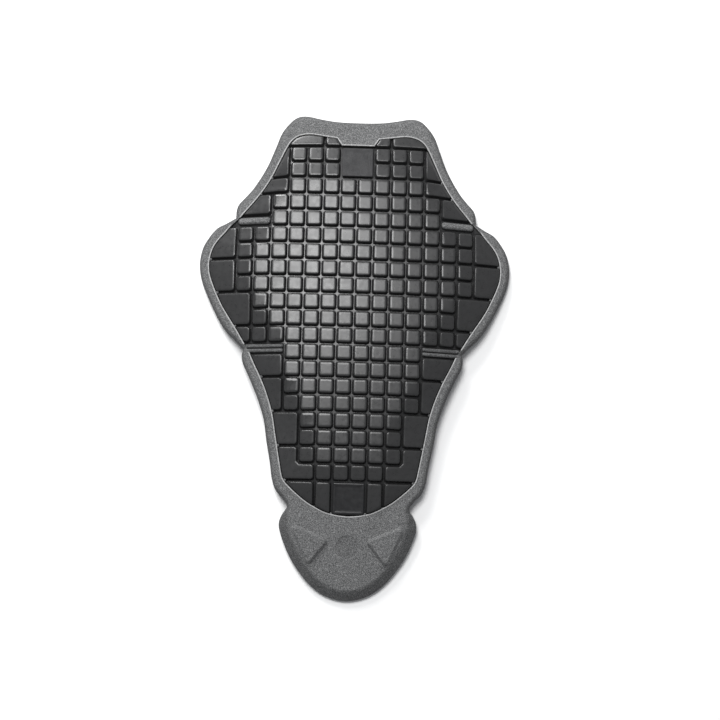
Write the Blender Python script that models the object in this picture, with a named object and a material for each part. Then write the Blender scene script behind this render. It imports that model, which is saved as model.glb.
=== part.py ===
"""Back protector insert: a grey foam carrier with a black pad of tiles bonded in.

The tiled outer face points up (+Z), the neck end lies at +Y, and the arched
underside stands on its neck corners, wing tips and tail tip at Z = 0. All lengths
are in metres. The object is modelled flat, then bent over the arch.
"""

from collections import namedtuple
import math

import bmesh
import bpy
from mathutils import Vector
from mathutils.geometry import interpolate_bezier

# Overall sizes
LENGTH = 0.4567
WIDTH = 0.2918
ARCH_RISE = 0.014           # clear height under the middle of the back

# Foam carrier
FOAM_FLOOR = 0.0040         # foam left under the pad
RIM_HEIGHT = 0.0095         # underside to the flat of the rim
RIM_EDGE = 0.0045           # upright outer edge, below the rounded shoulder
RIM_SHOULDER = 0.0040       # width of the rounded shoulder of the rim
TAIL_SLOPE = 0.0095         # width of the sloping border round the tail
SLOPE_BLEND = 0.012         # length over which one border turns into the other
UNDERSIDE_ROUND = 0.0015    # small round along the lower outer edge
FLEX_DEPTH = 0.0020         # how far a flex band lies below the rim
BEAD_WIDTH = 0.0068
BEAD_HEIGHT = 0.0024
BEAD_SETBACK = 0.0020       # from the inner end of a flex band to its bead
RIDGE_WIDTH = 0.0032        # the two narrow beads of a lower flex band
BOSS_HEIGHT = 0.0026        # raised triangles on the tail
BOSS_SLOPE = 0.0020
BOSS_ROUND = 0.0040
DISH_RADIUS = 0.0112        # plain round dish in the middle of the tail
DISH_DEPTH = 0.0006

# Black pad
WEB = 0.0022                # thickness of the pad at its edge, under the tiles
TILE_HEIGHT = 0.0040
TILE_CHAMFER = 0.0009
GROOVE = 0.0028             # between neighbouring tiles
PLATEAU_LIFT = 0.0075       # how much the middle of the pad is raised
TILE_LEDGE = 0.0005         # from the pad's edge to the wall of an edge tile
STEP_CUT = 0.0025           # cut inner corner of the stepped tile

# Patches
PATCH_SET_DOWN = 0.0004     # below the tiles beside it
PATCH_CHAMFER = 0.0006

# Fits and drawing steps
CLEARANCE = 0.0003          # between a piece and the piece that holds it
SPACING = 0.0086            # between points along a curved outline
ARC_STEPS = 3               # straight pieces in a rounded corner
BEND_EVERY = 2              # tile pitches between the fold lines of the carrier
OVERSHOOT = 0.002           # how far a cutter passes the surface it opens

HALF_WIDTH = WIDTH / 2
HALF_LENGTH = LENGTH / 2

# Outline of the carrier from the middle of the neck to the tail tip, as shares of
# the half width and the half length. A corner is sharp, the rest is one curve.
Landmark = namedtuple("Landmark", "across along corner")
WAIST = Landmark(0.386, -0.626, False)      # the neck between the body and the tail
CARRIER_OUTLINE = [
    Landmark(0.000, 0.975, False),
    Landmark(0.144, 0.978, False),
    Landmark(0.247, 0.988, False),
    Landmark(0.330, 0.999, False),
    Landmark(0.385, 0.997, False),
    Landmark(0.430, 0.980, False),
    Landmark(0.495, 0.927, False),
    Landmark(0.534, 0.861, False),
    Landmark(0.587, 0.774, False),
    Landmark(0.666, 0.686, False),
    Landmark(0.722, 0.642, False),
    Landmark(0.760, 0.615, False),
    Landmark(0.774, 0.590, False),
    Landmark(0.776, 0.555, True),
    Landmark(0.835, 0.533, False),
    Landmark(0.897, 0.511, False),
    Landmark(0.952, 0.467, False),
    Landmark(0.986, 0.423, False),
    Landmark(1.000, 0.361, False),
    Landmark(0.983, 0.292, False),
    Landmark(0.926, 0.205, False),
    Landmark(0.853, 0.117, False),
    Landmark(0.802, 0.073, False),
    Landmark(0.765, 0.050, False),
    Landmark(0.699, 0.007, True),
    Landmark(0.707, -0.020, False),
    Landmark(0.696, -0.053, False),
    Landmark(0.659, -0.102, False),
    Landmark(0.598, -0.190, False),
    Landmark(0.553, -0.277, False),
    Landmark(0.530, -0.365, False),
    Landmark(0.504, -0.452, False),
    Landmark(0.488, -0.517, False),
    Landmark(0.463, -0.562, False),
    Landmark(0.411, -0.600, False),
    WAIST,
    Landmark(0.411, -0.653, False),
    Landmark(0.433, -0.685, False),
    Landmark(0.432, -0.718, False),
    Landmark(0.382, -0.803, False),
    Landmark(0.322, -0.868, False),
    Landmark(0.230, -0.938, False),
    Landmark(0.127, -0.982, False),
    Landmark(0.000, -1.000, False),
]

# Where the underside stands on the floor, as the same shares
NECK_FOOT = (0.356, 0.998)
WING_FOOT = (0.988, 0.412)
TAIL_FOOT = (0.000, -1.000)

# The pad from neck to tail: its edge and the edge of its raised plateau, as shares
# of the half width, at places along the half length
Section = namedtuple("Section", "along edge plateau")
PAD_SECTIONS = [
    Section(0.897, 0.408, 0.377),
    Section(0.871, 0.444, 0.384),
    Section(0.787, 0.506, 0.425),
    Section(0.734, 0.543, 0.432),
    Section(0.682, 0.589, 0.452),
    Section(0.629, 0.647, 0.507),
    Section(0.594, 0.692, 0.541),
    Section(0.559, 0.737, 0.541),
    Section(0.516, 0.805, 0.541),
    Section(0.489, 0.838, 0.548),
    Section(0.454, 0.885, 0.583),
    Section(0.419, 0.916, 0.644),
    Section(0.381, 0.931, 0.665),
    Section(0.349, 0.934, 0.672),
    Section(0.314, 0.927, 0.672),
    Section(0.261, 0.897, 0.651),
    Section(0.191, 0.846, 0.596),
    Section(0.139, 0.796, 0.548),
    Section(0.086, 0.742, 0.480),
    Section(0.031, 0.690, 0.446),
    Section(-0.011, 0.651, 0.432),
    Section(-0.054, 0.620, 0.432),
    Section(-0.106, 0.579, 0.418),
    Section(-0.176, 0.533, 0.350),
    Section(-0.254, 0.495, 0.295),
    Section(-0.334, 0.472, 0.233),
    Section(-0.474, 0.432, 0.192),
    Section(-0.512, 0.418, 0.164),
    Section(-0.534, 0.395, 0.137),
    Section(-0.597, 0.283, 0.055),
    Section(-0.632, 0.191, 0.021),
    Section(-0.650, 0.120, 0.000),
]
PAD_NECK = [
    Landmark(0.000, 0.867, False),
    Landmark(0.107, 0.867, True),
    Landmark(0.139, 0.899, True),
    Landmark(0.212, 0.906, False),
    Landmark(0.308, 0.914, False),
    Landmark(0.363, 0.910, False),
]
PAD_TIP = [Landmark(0.000, -0.660, False)]

# The tile grid: rows count from the neck, columns from the middle line
FIELD_TOP = 0.930 * HALF_LENGTH
FIELD_BOTTOM = -0.660 * HALF_LENGTH
ROWS = 23
ROW_PITCH = (FIELD_TOP - FIELD_BOTTOM) / ROWS
COLUMN_PITCH = WIDTH / 18.5
OUTER_COLUMN = 8

# Square tiles in each row: the first and last column on each side
TileRow = namedtuple("TileRow", "row first last")
TILE_ROWS = [
    TileRow(1, 2, 4),
    TileRow(2, 2, 4),
    TileRow(3, 1, 4),
    TileRow(4, 1, 5),
    TileRow(5, 1, 5),
    TileRow(6, 1, 7),
    TileRow(7, 1, 7),
    TileRow(8, 1, 7),
    TileRow(9, 1, 7),
    TileRow(10, 1, 6),
    TileRow(11, 1, 6),
    TileRow(12, 1, 6),
    TileRow(13, 1, 4),
    TileRow(14, 1, 4),
    TileRow(15, 1, 4),
    TileRow(16, 1, 4),
    TileRow(17, 1, 3),
    TileRow(18, 1, 3),
    TileRow(19, 1, 3),
    TileRow(20, 1, 2),
]

# Flex bands, where the carrier's foam shows between the tiles: from and to a row
# line, out from a column line
FlexBand = namedtuple("FlexBand", "top bottom inner beads")
FLEX_BANDS = [
    FlexBand(5.36, 5.98, 5, 1),
    FlexBand(13.02, 13.62, 4, 2),
]

# Edge tiles: from and to a row line, and from and to a column line. They end at
# the pad's edge where that comes first.
EdgeTile = namedtuple("EdgeTile", "top bottom inner outer")
STEPPED_TILE = EdgeTile(19, 21, 2, OUTER_COLUMN)
STEP_COLUMN = 3             # where the upper half of the stepped tile starts
STEP_ROW = 20
EDGE_TILES = [
    EdgeTile(0, 1, 1, 2),
    EdgeTile(0, 1, 2, OUTER_COLUMN),
    EdgeTile(1, 3, 4, OUTER_COLUMN),
    EdgeTile(3, 4, 4, OUTER_COLUMN),
    EdgeTile(4, 5.36, 5, OUTER_COLUMN),
    EdgeTile(6, 8, 7, OUTER_COLUMN),
    EdgeTile(8, 10, 7, OUTER_COLUMN),
    EdgeTile(10, 12, 6, OUTER_COLUMN),
    EdgeTile(12, 13, 6, OUTER_COLUMN),
    EdgeTile(13.62, 15, 4, OUTER_COLUMN),
    EdgeTile(15, 17, 4, OUTER_COLUMN),
    EdgeTile(17, 19, 3, OUTER_COLUMN),
    STEPPED_TILE,
    EdgeTile(21, 23, 1, 2),
    EdgeTile(21, 23, 2, OUTER_COLUMN),
]

# Rows that the two patches fill, each one column wide on both sides
PATCH_ROWS = {"neck_patch": (1, 3), "lumbar_patch": (21, 23)}
PLATEAU_ROWS = (3, 20)      # the plateau's ends, as row lines

# Raised triangle on the tail, right side, and the middle of the dish
BOSS_CORNERS = [(0.385, -0.680), (0.106, -0.758), (0.250, -0.874)]
DISH_ALONG = -0.785


def row_line(row):
    return FIELD_TOP - row * ROW_PITCH


def column_line(column):
    return column * COLUMN_PITCH


# Outlines


def place(across, along):
    return Vector((across * HALF_WIDTH, along * HALF_LENGTH))


def smooth_path(places, corners):
    """Points along one curve through the places, broken at the corners."""
    path = []
    last = len(places) - 1
    for index in range(last):
        start = places[index]
        end = places[index + 1]
        chord = end - start
        before = places[index - 1] if index > 0 else Vector((-end.x, end.y))
        after = places[index + 2] if index + 1 < last else Vector((-start.x, start.y))
        leave = chord if corners[index] else end - before
        arrive = chord if corners[index + 1] else after - start
        third = chord.length / 3
        steps = max(1, round(chord.length / SPACING))
        curve = interpolate_bezier(
            start,
            start + leave.normalized() * third,
            end - arrive.normalized() * third,
            end,
            steps + 1,
        )
        path.extend(Vector(point[:2]) for point in curve[:-1])
    path.append(places[last])
    return path


def both_sides(half):
    """A closed outline from its right half, which starts and ends on the middle line."""
    left = [Vector((-point.x, point.y)) for point in reversed(half[1:-1])]
    return half + left


def offset(ring, distances):
    """The ring moved inwards, by one distance or by one for each point."""
    if isinstance(distances, float):
        distances = [distances] * len(ring)
    moved = []
    for index, point in enumerate(ring):
        back = (point - ring[index - 1]).normalized()
        ahead = (ring[(index + 1) % len(ring)] - point).normalized()
        inward_back = Vector((back.y, -back.x))
        inward_ahead = Vector((ahead.y, -ahead.x))
        inward = (inward_back + inward_ahead).normalized()
        miter = max(inward.dot(inward_ahead), 0.5)
        moved.append(point + inward * (distances[index] / miter))
    return moved


def rounded_polygon(corners, radius):
    """A clockwise polygon whose corners are arcs."""
    ring = []
    for index, corner in enumerate(corners):
        back = (corners[index - 1] - corner).normalized()
        ahead = (corners[(index + 1) % len(corners)] - corner).normalized()
        half_angle = back.angle(ahead) / 2
        middle = (back + ahead).normalized()
        centre = corner + middle * (radius / math.sin(half_angle))
        sweep = math.pi / 2 - half_angle
        turn = middle.x * back.y - middle.y * back.x
        for step in range(ARC_STEPS + 1):
            angle = sweep * (1 - 2 * step / ARC_STEPS) * math.copysign(1, turn)
            away = -middle
            ring.append(centre + radius * Vector((
                away.x * math.cos(angle) + away.y * math.sin(angle),
                away.y * math.cos(angle) - away.x * math.sin(angle),
            )))
    return ring


def clip(ring, axis, limit, keep_above):
    """The part of a ring on one side of a line across X (axis 0) or Y (axis 1)."""
    side = 1 if keep_above else -1
    kept = []
    for index, point in enumerate(ring):
        before = ring[index - 1]
        depth_before = side * (before[axis] - limit)
        depth = side * (point[axis] - limit)
        if (depth_before > 0) != (depth > 0):
            kept.append(before.lerp(point, depth_before / (depth_before - depth)))
        if depth > 0:
            kept.append(point)
    return kept


def carrier_ring():
    places = [place(mark.across, mark.along) for mark in CARRIER_OUTLINE]
    return both_sides(smooth_path(places, [mark.corner for mark in CARRIER_OUTLINE]))


def pad_places():
    """The pad's edge on the right side, with a slot for each flex band."""
    marks = PAD_NECK + [Landmark(cut.edge, cut.along, False) for cut in PAD_SECTIONS] + PAD_TIP
    places = [place(mark.across, mark.along) for mark in marks]
    corners = [mark.corner for mark in marks]
    for band in FLEX_BANDS:
        top = row_line(band.top)
        bottom = row_line(band.bottom)
        inner = column_line(band.inner)
        slot = [
            Vector((pad_edge(top), top)),
            Vector((inner, top)),
            Vector((inner, bottom)),
            Vector((pad_edge(bottom), bottom)),
        ]
        margin = SPACING / 2
        above = [k for k, spot in enumerate(places) if spot.y > top + margin]
        below = [k for k, spot in enumerate(places) if spot.y < bottom - margin]
        places = places[:above[-1] + 1] + slot + places[below[0]:]
        corners = corners[:above[-1] + 1] + [True] * len(slot) + corners[below[0]:]
    return places, corners


def pad_ring():
    return both_sides(smooth_path(*pad_places()))


# The arch and the raised plateau


def arch_shape():
    """Curvature across and along and the place of the top, so that all feet touch."""
    neck = place(*NECK_FOOT)
    wing = place(*WING_FOOT)
    tail = place(*TAIL_FOOT)
    neck_span = neck.y - tail.y
    wing_span = wing.y - tail.y
    ratio = (
        ((wing.y ** 2 - tail.y ** 2) * neck_span - (neck.y ** 2 - tail.y ** 2) * wing_span)
        / (neck.x ** 2 * wing_span - wing.x ** 2 * neck_span)
    )
    top = (ratio * neck.x ** 2 + neck.y ** 2 - tail.y ** 2) / (2 * neck_span)
    along = ARCH_RISE / (tail.y - top) ** 2
    return ratio * along, along, top


ARCH_ACROSS, ARCH_ALONG, ARCH_TOP = arch_shape()


def arch(x, y):
    """Height of the underside above the floor, before it is set down on its feet."""
    return ARCH_RISE - ARCH_ACROSS * x ** 2 - ARCH_ALONG * (y - ARCH_TOP) ** 2


def between(along, name):
    """The edge or the plateau of the pad, in metres, at a place along the length."""
    first = PAD_SECTIONS[0]
    if along >= first.along * HALF_LENGTH:
        return getattr(first, name) * HALF_WIDTH
    for upper, lower in zip(PAD_SECTIONS, PAD_SECTIONS[1:]):
        high = upper.along * HALF_LENGTH
        low = lower.along * HALF_LENGTH
        if along >= low:
            share = (high - along) / (high - low)
            start = getattr(upper, name)
            return (start + share * (getattr(lower, name) - start)) * HALF_WIDTH
    return getattr(PAD_SECTIONS[-1], name) * HALF_WIDTH


def pad_edge(y):
    return between(y, "edge")


def lift(x, y):
    """How much the pad's top is raised here: all of it on the plateau, none at the edge."""
    edge = pad_edge(y)
    plateau = between(y, "plateau")
    side = (edge - abs(x)) / (edge - plateau)
    neck_end = PAD_NECK[-1].along * HALF_LENGTH
    neck = (neck_end - y) / (neck_end - row_line(PLATEAU_ROWS[0]))
    tail = (y - FIELD_BOTTOM) / (row_line(PLATEAU_ROWS[1]) - FIELD_BOTTOM)
    return PLATEAU_LIFT * max(0.0, min(1.0, side, neck, tail))


# Solids


def at_height(ring, height):
    return [Vector((point.x, point.y, height)) for point in ring]


def stack(bm, rings):
    """One closed body: a face on the first ring, extruded through all the others."""
    floor = bm.faces.new([bm.verts.new(point) for point in rings[0]])
    face = floor
    for ring in rings[1:]:
        grown = bmesh.ops.extrude_face_region(bm, geom=[face])["geom"]
        if face is not floor:
            bm.faces.remove(face)
        face = next(item for item in grown if isinstance(item, bmesh.types.BMFace))
        for vert, point in zip(face.verts, ring):
            vert.co = point


def tile_block(bm, ring, foot, top, chamfer):
    """A block with a chamfered top edge."""
    stack(bm, [
        at_height(ring, foot),
        at_height(ring, top - chamfer),
        at_height(offset(ring, chamfer), top),
    ])


def finished_object(name, bm, collection, material):
    bmesh.ops.recalc_face_normals(bm, faces=bm.faces)
    mesh = bpy.data.meshes.new(name)
    bm.to_mesh(mesh)
    bm.free()
    obj = bpy.data.objects.new(name, mesh)
    collection.objects.link(obj)
    if material:
        mesh.materials.append(material)
    return obj


def combine(target, other, operation):
    """The target joined with the other object, or cut by it, as one plain mesh."""
    modifier = target.modifiers.new(operation.lower(), "BOOLEAN")
    modifier.operation = operation
    modifier.solver = "EXACT"
    modifier.object = other
    graph = bpy.context.evaluated_depsgraph_get()
    mesh = bpy.data.meshes.new_from_object(target.evaluated_get(graph))
    target.modifiers.clear()
    target.data = mesh
    bpy.data.objects.remove(other)


def fold_lines(bm, every):
    """Cuts the body along the grid lines, so that it can bend there."""
    cuts = []
    for row in range(0, round((HALF_LENGTH + FIELD_TOP) / ROW_PITCH), every):
        cuts.append((Vector((0, row_line(row), 0)), Vector((0, 1, 0))))
    for column in range(0, OUTER_COLUMN + 2, every):
        for side in (1, -1) if column else (1,):
            cuts.append((Vector((side * column_line(column), 0, 0)), Vector((1, 0, 0))))
    for spot, normal in cuts:
        geometry = bm.verts[:] + bm.edges[:] + bm.faces[:]
        bmesh.ops.bisect_plane(bm, geom=geometry, dist=1e-6, plane_co=spot, plane_no=normal)


def bend(obj, height_at):
    """Triangulates the flat body and moves each of its points to its final height."""
    bm = bmesh.new()
    bm.from_mesh(obj.data)
    bmesh.ops.triangulate(bm, faces=bm.faces, quad_method="BEAUTY", ngon_method="BEAUTY")
    for vert in bm.verts:
        vert.co.z = height_at(vert.co)
    bm.to_mesh(obj.data)
    bm.free()


# The foam carrier


def border_width(y):
    """Rounded shoulder along the sides, wide slope round the tail."""
    share = min(1.0, max(0.0, (WAIST.along * HALF_LENGTH - y) / SLOPE_BLEND))
    return RIM_SHOULDER + share * (TAIL_SLOPE - RIM_SHOULDER)


def carrier_body(collection, material):
    ring = carrier_ring()
    borders = [border_width(point.y) for point in ring]
    rise = RIM_HEIGHT - RIM_EDGE
    bm = bmesh.new()
    stack(bm, [
        at_height(offset(ring, UNDERSIDE_ROUND), 0),
        at_height(ring, UNDERSIDE_ROUND),
        at_height(ring, RIM_EDGE),
        at_height(offset(ring, [border * 0.35 for border in borders]), RIM_EDGE + rise * 0.7),
        at_height(offset(ring, borders), RIM_HEIGHT),
    ])
    return finished_object("foam_carrier", bm, collection, material)


def pad_recess(cutters):
    ring = offset(pad_ring(), -CLEARANCE)
    bm = bmesh.new()
    stack(bm, [at_height(ring, FOAM_FLOOR), at_height(ring, RIM_HEIGHT + OVERSHOOT)])
    return finished_object("pad_recess", bm, cutters, None)


def band_box(band, side):
    """The clockwise corners of a flex band, from its inner end to past the rim."""
    top = row_line(band.top)
    bottom = row_line(band.bottom)
    inner = column_line(band.inner) - CLEARANCE
    outer = HALF_WIDTH
    corners = [(inner, top), (outer, top), (outer, bottom), (inner, bottom)]
    if side < 0:
        corners = [(-x, y) for x, y in reversed(corners)]
    return [Vector(corner) for corner in corners]


def flex_channels(cutters):
    """The cut that lowers each flex band below the rim."""
    bm = bmesh.new()
    for band in FLEX_BANDS:
        for side in (1, -1):
            ring = offset(band_box(band, side), -CLEARANCE)
            depth = RIM_HEIGHT - FLEX_DEPTH
            stack(bm, [at_height(ring, depth), at_height(ring, RIM_HEIGHT + OVERSHOOT)])
    return finished_object("flex_channels", bm, cutters, None)


def carrier_half_width(y):
    """Half width of the carrier at a place along the length."""
    half = carrier_ring()
    crossings = [
        start.lerp(end, (start.y - y) / (start.y - end.y)).x
        for start, end in zip(half, half[1:])
        if start.y >= y > end.y
    ]
    return max(crossings)


def bead_rows(band):
    """Middle line and width of each bead in a flex band."""
    top = row_line(band.top)
    bottom = row_line(band.bottom)
    if band.beads == 1:
        return [((top + bottom) / 2, BEAD_WIDTH)]
    shift = RIDGE_WIDTH / 2 + CLEARANCE
    return [((top + bottom) / 2 + side * shift, RIDGE_WIDTH) for side in (1, -1)]


def flex_beads(cutters):
    """Round-ended beads that stand in the flex bands."""
    base = RIM_HEIGHT - FLEX_DEPTH
    bm = bmesh.new()
    for band in FLEX_BANDS:
        for middle, width in bead_rows(band):
            reach = min(carrier_half_width(middle + width), carrier_half_width(middle - width))
            inner = column_line(band.inner) + BEAD_SETBACK
            outer = reach - RIM_SHOULDER - BEAD_SETBACK
            for side in (1, -1):
                spans = [(inner, 1), (outer, 1), (outer, -1), (inner, -1)]
                corners = [Vector((x, middle + up * width / 2)) for x, up in spans]
                if side < 0:
                    corners = [Vector((-spot.x, spot.y)) for spot in reversed(corners)]
                ring = rounded_polygon(corners, width * 0.48)
                stack(bm, [
                    at_height(ring, FOAM_FLOOR),
                    at_height(ring, base + BEAD_HEIGHT * 0.4),
                    at_height(offset(ring, width * 0.22), base + BEAD_HEIGHT),
                ])
    return finished_object("flex_beads", bm, cutters, None)


def tail_bosses(cutters):
    """The two raised triangles on the tail."""
    bm = bmesh.new()
    for side in (1, -1):
        corners = [place(side * across, along) for across, along in BOSS_CORNERS]
        if side > 0:
            corners.reverse()
        ring = rounded_polygon(corners, BOSS_ROUND)
        stack(bm, [
            at_height(ring, RIM_EDGE),
            at_height(ring, RIM_HEIGHT),
            at_height(offset(ring, BOSS_SLOPE), RIM_HEIGHT + BOSS_HEIGHT),
        ])
    return finished_object("tail_bosses", bm, cutters, None)


def tail_dish(cutters):
    bm = bmesh.new()
    bmesh.ops.create_cone(
        bm,
        cap_ends=True,
        segments=24,
        radius1=DISH_RADIUS - DISH_DEPTH,
        radius2=DISH_RADIUS + OVERSHOOT,
        depth=DISH_DEPTH + OVERSHOOT,
    )
    middle = RIM_HEIGHT + (OVERSHOOT - DISH_DEPTH) / 2
    bmesh.ops.translate(bm, verts=bm.verts, vec=(0, DISH_ALONG * HALF_LENGTH, middle))
    return finished_object("tail_dish", bm, cutters, None)


def make_carrier(collection, cutters, material, ground):
    carrier = carrier_body(collection, material)
    combine(carrier, pad_recess(cutters), "DIFFERENCE")
    combine(carrier, flex_channels(cutters), "DIFFERENCE")
    combine(carrier, flex_beads(cutters), "UNION")
    combine(carrier, tail_bosses(cutters), "UNION")
    combine(carrier, tail_dish(cutters), "DIFFERENCE")
    bm = bmesh.new()
    bm.from_mesh(carrier.data)
    fold_lines(bm, BEND_EVERY)
    bm.to_mesh(carrier.data)
    bm.free()

    def height_at(spot):
        raised = lift(spot.x, spot.y) if spot.z > FOAM_FLOOR + CLEARANCE else 0
        return spot.z + raised + arch(spot.x, spot.y) - ground

    bend(carrier, height_at)
    return carrier


# The black pad


def tile_ring(tile, ledge):
    """The clockwise outline of an edge tile on the right side."""
    ring = clip(ledge, 1, row_line(tile.top) - GROOVE / 2, False)
    if tile.bottom < ROWS:
        ring = clip(ring, 1, row_line(tile.bottom) + GROOVE / 2, True)
    ring = clip(ring, 0, column_line(tile.inner) + GROOVE / 2, True)
    return clip(ring, 0, column_line(tile.outer) - GROOVE / 2, False)


def without_point(ring, spot, replacement):
    """The ring with its point at the spot changed for others."""
    index = min(range(len(ring)), key=lambda k: (ring[k] - spot).length)
    return ring[:index] + replacement + ring[index + 1:]


def stepped_ring(ring):
    """Takes the upper inner quarter out of the stepped tile."""
    inner = column_line(STEPPED_TILE.inner) + GROOVE / 2
    step = column_line(STEP_COLUMN) + GROOVE / 2
    top = row_line(STEPPED_TILE.top) - GROOVE / 2
    shelf = row_line(STEP_ROW) - GROOVE / 2
    return without_point(ring, Vector((inner, top)), [
        Vector((inner, shelf)),
        Vector((step - STEP_CUT, shelf)),
        Vector((step, shelf + STEP_CUT)),
        Vector((step, top)),
    ])


def square_ring(row, column):
    left = column_line(column - 1) + GROOVE / 2
    right = column_line(column) - GROOVE / 2
    top = row_line(row) - GROOVE / 2
    bottom = row_line(row + 1) + GROOVE / 2
    return [Vector(c) for c in ((left, top), (right, top), (right, bottom), (left, bottom))]


def mirrored(ring):
    return [Vector((-point.x, point.y)) for point in reversed(ring)]


def pad_base():
    return FOAM_FLOOR + CLEARANCE


def tile_field(cutters):
    """Every tile of the pad as a loose block with its foot inside the web."""
    rings = []
    for tile_row in TILE_ROWS:
        for column in range(tile_row.first, tile_row.last + 1):
            rings.append(square_ring(tile_row.row, column))
    ledge = offset(pad_ring(), TILE_LEDGE)
    for tile in EDGE_TILES:
        ring = tile_ring(tile, ledge)
        rings.append(stepped_ring(ring) if tile is STEPPED_TILE else ring)
    foot = pad_base() + WEB / 2
    top = pad_base() + WEB + TILE_HEIGHT
    bm = bmesh.new()
    for ring in rings:
        tile_block(bm, ring, foot, top, TILE_CHAMFER)
        tile_block(bm, mirrored(ring), foot, top, TILE_CHAMFER)
    return finished_object("tile_field", bm, cutters, None)


def make_pad(collection, cutters, material, ground):
    ring = pad_ring()
    bm = bmesh.new()
    stack(bm, [at_height(ring, pad_base()), at_height(ring, pad_base() + WEB)])
    fold_lines(bm, 1)
    pad = finished_object("tile_pad", bm, collection, material)
    combine(pad, tile_field(cutters), "UNION")

    def height_at(spot):
        raised = lift(spot.x, spot.y) if spot.z > pad_base() + WEB / 4 else 0
        return spot.z + raised + arch(spot.x, spot.y) - ground

    bend(pad, height_at)
    return pad


# The two patches


def make_patch(name, collection, material, ground):
    """A square block with a flat top, seated in the gap that the tiles leave."""
    top_row, bottom_row = PATCH_ROWS[name]
    reach = column_line(1) - GROOVE / 2
    top = row_line(top_row) - GROOVE / 2
    bottom = row_line(bottom_row) + GROOVE / 2
    bow = ARCH_ACROSS * reach ** 2 + ARCH_ALONG * ((top - bottom) / 2) ** 2
    foot = pad_base() + WEB + CLEARANCE + bow
    crown = pad_base() + WEB + TILE_HEIGHT - PATCH_SET_DOWN
    ring = [Vector(c) for c in ((-reach, top), (reach, top), (reach, bottom), (-reach, bottom))]
    bm = bmesh.new()
    tile_block(bm, ring, foot, crown, PATCH_CHAMFER)
    patch = finished_object(name, bm, collection, material)
    low = lift(0, bottom) + arch(reach, bottom)
    slope = (lift(0, top) + arch(reach, top) - low) / (top - bottom)

    def height_at(spot):
        return spot.z + low + slope * (spot.y - bottom) - ground

    bend(patch, height_at)
    return patch


# The whole object


def make_material(name, colour, roughness):
    material = bpy.data.materials.new(name)
    material.use_nodes = True
    shader = material.node_tree.nodes["Principled BSDF"]
    shader.inputs["Base Color"].default_value = (*colour, 1)
    shader.inputs["Roughness"].default_value = roughness
    shader.inputs["Metallic"].default_value = 0
    return material


def new_collection(name):
    collection = bpy.data.collections.new(name)
    bpy.context.scene.collection.children.link(collection)
    return collection


def main():
    for obj in list(bpy.data.objects):
        bpy.data.objects.remove(obj)
    collection = new_collection("back_protector")
    cutters = new_collection("cutters")
    foam = make_material("grey_foam", (0.14, 0.14, 0.14), 0.85)
    rubber = make_material("black_rubber", (0.015, 0.015, 0.016), 0.35)
    hook = make_material("black_textile", (0.012, 0.012, 0.013), 0.80)
    underside = offset(carrier_ring(), UNDERSIDE_ROUND)
    ground = min(arch(point.x, point.y) for point in underside)
    make_carrier(collection, cutters, foam, ground)
    make_pad(collection, cutters, rubber, ground)
    make_patch("neck_patch", collection, hook, ground)
    make_patch("lumbar_patch", collection, rubber, ground)


main()
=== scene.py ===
import math
import random

import bmesh
import bpy
from mathutils import Euler, Matrix, Vector
from mathutils.geometry import interpolate_bezier


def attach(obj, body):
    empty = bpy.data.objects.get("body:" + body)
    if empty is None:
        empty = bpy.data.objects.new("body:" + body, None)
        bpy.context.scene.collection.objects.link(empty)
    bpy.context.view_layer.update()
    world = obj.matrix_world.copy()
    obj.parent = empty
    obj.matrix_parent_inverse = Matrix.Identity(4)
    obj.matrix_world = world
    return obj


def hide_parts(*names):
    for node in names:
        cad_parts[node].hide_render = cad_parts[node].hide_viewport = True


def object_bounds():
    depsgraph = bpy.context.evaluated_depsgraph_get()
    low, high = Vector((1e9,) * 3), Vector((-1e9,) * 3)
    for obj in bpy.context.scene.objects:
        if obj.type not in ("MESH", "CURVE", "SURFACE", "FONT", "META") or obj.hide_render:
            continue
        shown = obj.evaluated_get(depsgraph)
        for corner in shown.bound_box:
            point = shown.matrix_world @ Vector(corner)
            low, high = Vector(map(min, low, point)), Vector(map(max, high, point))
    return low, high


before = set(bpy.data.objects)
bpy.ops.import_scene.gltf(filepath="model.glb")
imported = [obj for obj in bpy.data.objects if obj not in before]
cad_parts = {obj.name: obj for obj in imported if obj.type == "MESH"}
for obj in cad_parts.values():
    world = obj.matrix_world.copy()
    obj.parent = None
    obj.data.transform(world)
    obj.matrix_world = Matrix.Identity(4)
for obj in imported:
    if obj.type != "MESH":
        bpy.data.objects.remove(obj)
cadLow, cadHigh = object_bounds()
halfWidth = (cadHigh[0] - cadLow[0]) / 2
halfLength = (cadHigh[1] - cadLow[1]) / 2
print("frame loaded, half width %.4f, half length %.4f" % (halfWidth, halfLength))

# metres, the same levels that the frame has
form = {
    "archRise": 0.014,
    "foamFloor": 0.0040,
    "rimHeight": 0.0095,
    "webThick": 0.0022,
    "tileHeight": 0.0040,
    "groove": 0.0028,
    "lift": 0.0075,
    "gap": 0.0003,
    "overshoot": 0.002,         # of a cutter past the surface that it cuts
    "slotMargin": 0.004,        # outline landmarks this near a flex band are dropped
    "groundSpacing": 0.0086,    # outline spacing and inset of the foot, as in the solid
    "groundInset": 0.0015,
    "tiltStep": 0.004,
    "fieldTop": 0.930,
    "fieldBottom": -0.660,
    "rows": 23,
    "columnsAcross": 18.5,
    "plateauRows": (3, 20),
}

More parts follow.
